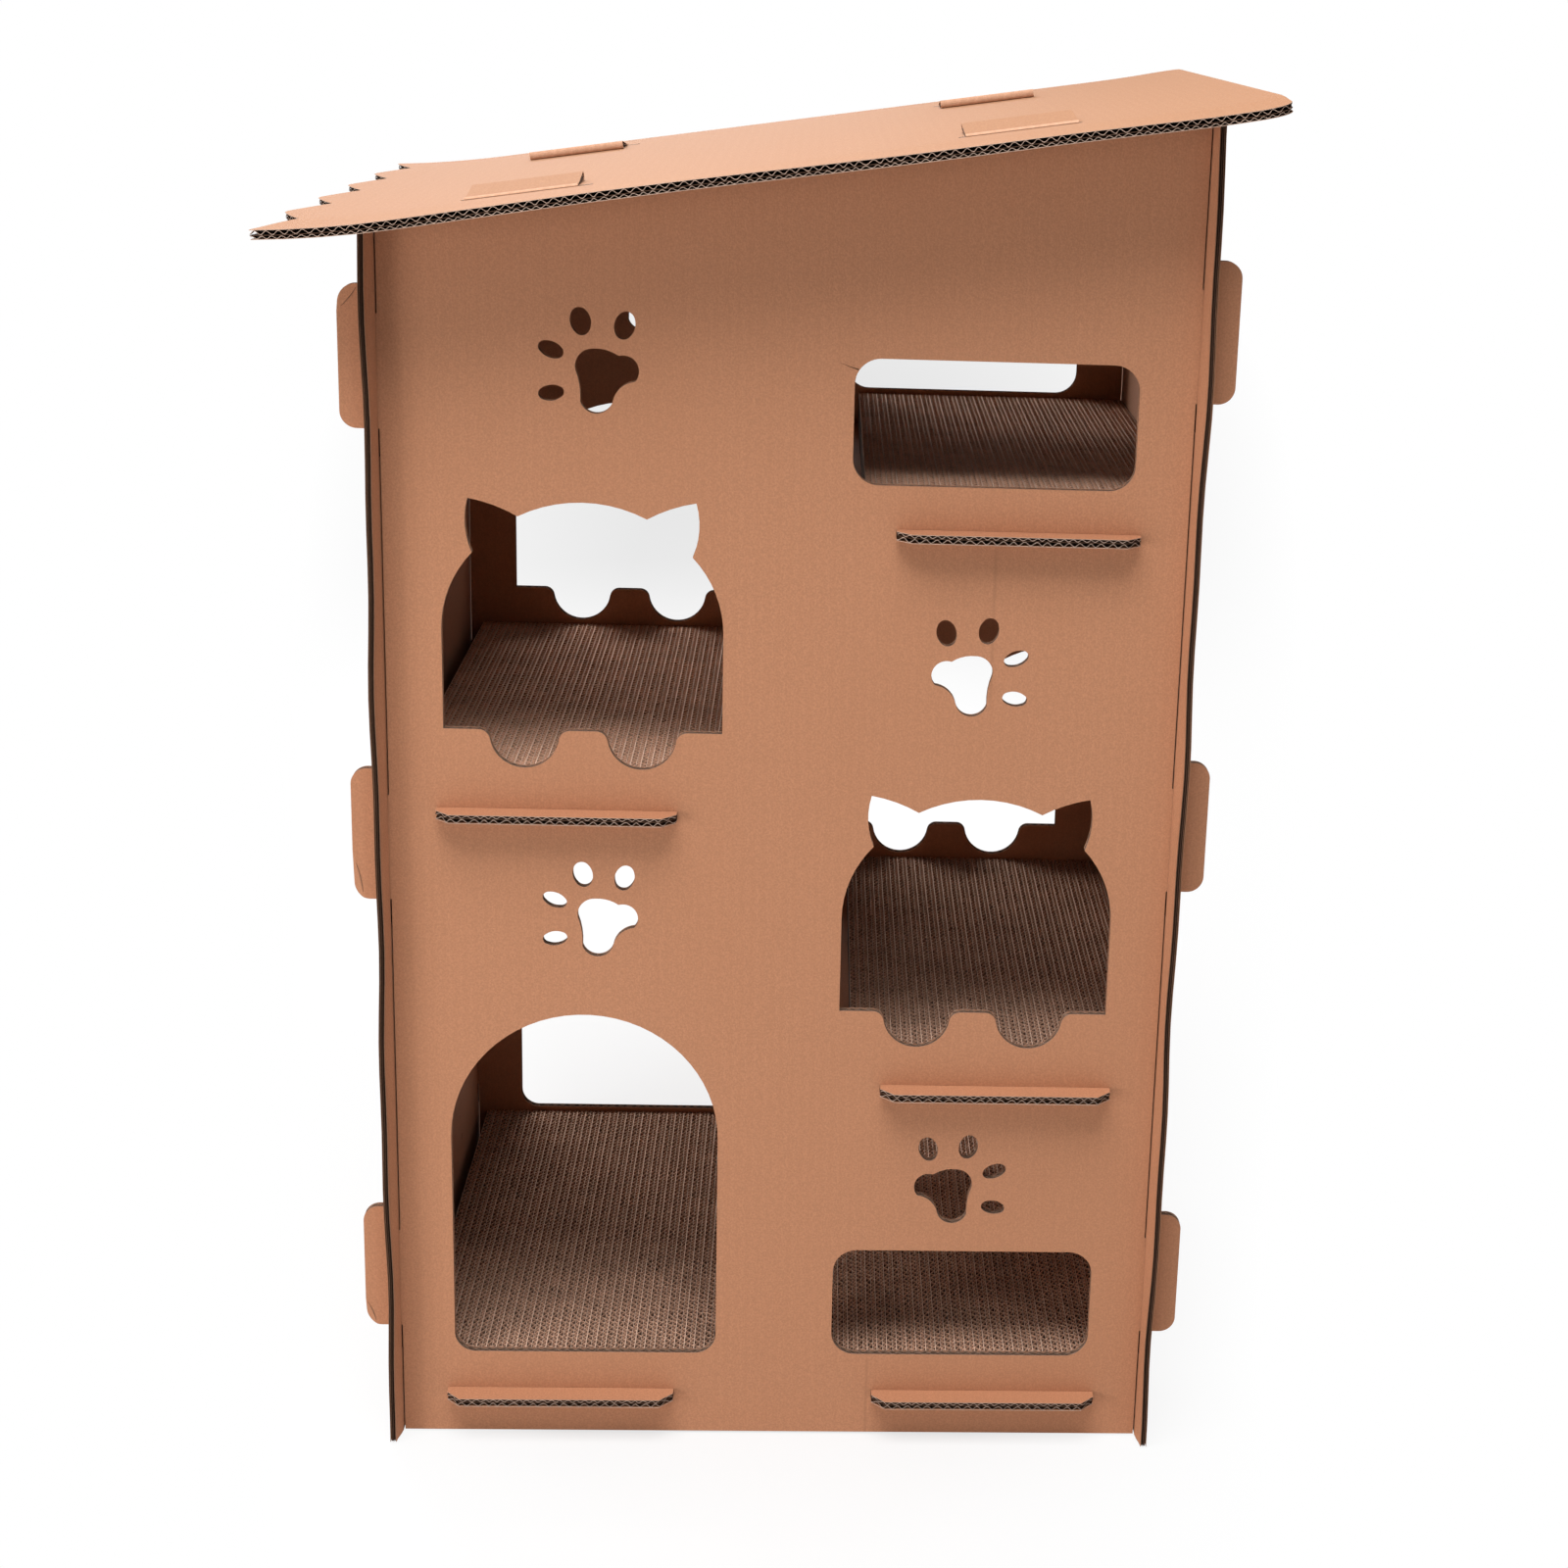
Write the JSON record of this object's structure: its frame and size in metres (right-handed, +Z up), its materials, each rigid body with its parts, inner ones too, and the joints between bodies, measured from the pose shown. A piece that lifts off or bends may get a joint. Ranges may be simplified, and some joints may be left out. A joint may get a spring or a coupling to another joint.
{
  "type": "cardboard cat house",
  "caption": "Flat-packed corrugated board cat house with a sloping roof, cat-face windows, an open inner stair of platforms and loose scratch pads.",
  "frame": {"origin": "on the ground, in the middle of the front wall panel's lower edge: halfway along it and halfway through its thickness", "axes": "+Z up; +X to the right seen from the front, towards the high end of the roof; +Y from the front wall to the back wall"},
  "size_m": [0.6833, 0.6115, 1.0331],
  "materials": {
    "house_board": "plain kraft liner, matt",
    "roof_board": "plain kraft liner, matt, paler from strong light",
    "scratch_strips": "cut edges of corrugated strips, open flutes"
  },
  "bodies": {
    "root": {"front_panel": "house_board", "back_panel": "house_board", "left_side_panel": "house_board", "right_side_panel": "house_board", "roof_panel": "roof_board", "ground_floor": "house_board", "right_middle_platform": "house_board", "left_upper_platform": "house_board", "right_top_platform": "house_board"},
    "front_left_roof_flap": {"front_left_roof_flap": "roof_board"},
    "front_right_roof_flap": {"front_right_roof_flap": "roof_board"},
    "back_left_roof_flap": {"back_left_roof_flap": "roof_board"},
    "back_right_roof_flap": {"back_right_roof_flap": "roof_board"},
    "ground_left_pad": {"ground_left_pad": "scratch_strips"},
    "ground_right_pad": {"ground_right_pad": "scratch_strips"},
    "middle_right_pad": {"middle_right_pad": "scratch_strips"},
    "upper_left_pad": {"upper_left_pad": "scratch_strips"},
    "top_right_pad": {"top_right_pad": "scratch_strips"}
  },
  "joints": [
    {"name": "front_left_roof_flap_fold", "type": "hinge", "parent": "root", "child": "front_left_roof_flap", "pos_m": [-0.18552, 0.00325, 0.95039], "axis": [0.9881, 0, 0.1541], "range_deg": [0, 90]},
    {"name": "front_right_roof_flap_fold", "type": "hinge", "parent": "root", "child": "front_right_roof_flap", "pos_m": [0.15496, 0.00325, 1.0035], "axis": [0.9881, 0, 0.1541], "range_deg": [0, 90]},
    {"name": "back_left_roof_flap_fold", "type": "hinge", "parent": "root", "child": "back_left_roof_flap", "pos_m": [-0.18552, 0.44775, 0.95039], "axis": [-0.9881, 0, -0.1541], "range_deg": [0, 90]},
    {"name": "back_right_roof_flap_fold", "type": "hinge", "parent": "root", "child": "back_right_roof_flap", "pos_m": [0.15496, 0.44775, 1.0035], "axis": [-0.9881, 0, -0.1541], "range_deg": [0, 90]},
    {"name": "ground_left_pad_lift", "type": "slide", "parent": "root", "child": "ground_left_pad", "axis": [0, 0, 1], "range_m": [0, 0.036]},
    {"name": "ground_right_pad_lift", "type": "slide", "parent": "root", "child": "ground_right_pad", "axis": [0, 0, 1], "range_m": [0, 0.036]},
    {"name": "middle_right_pad_lift", "type": "slide", "parent": "root", "child": "middle_right_pad", "axis": [0, 0, 1], "range_m": [0, 0.066]},
    {"name": "upper_left_pad_lift", "type": "slide", "parent": "root", "child": "upper_left_pad", "axis": [0, 0, 1], "range_m": [0, 0.066]},
    {"name": "top_right_pad_lift", "type": "slide", "parent": "root", "child": "top_right_pad", "axis": [0, 0, 1], "range_m": [0, 0.036]}
  ]
}
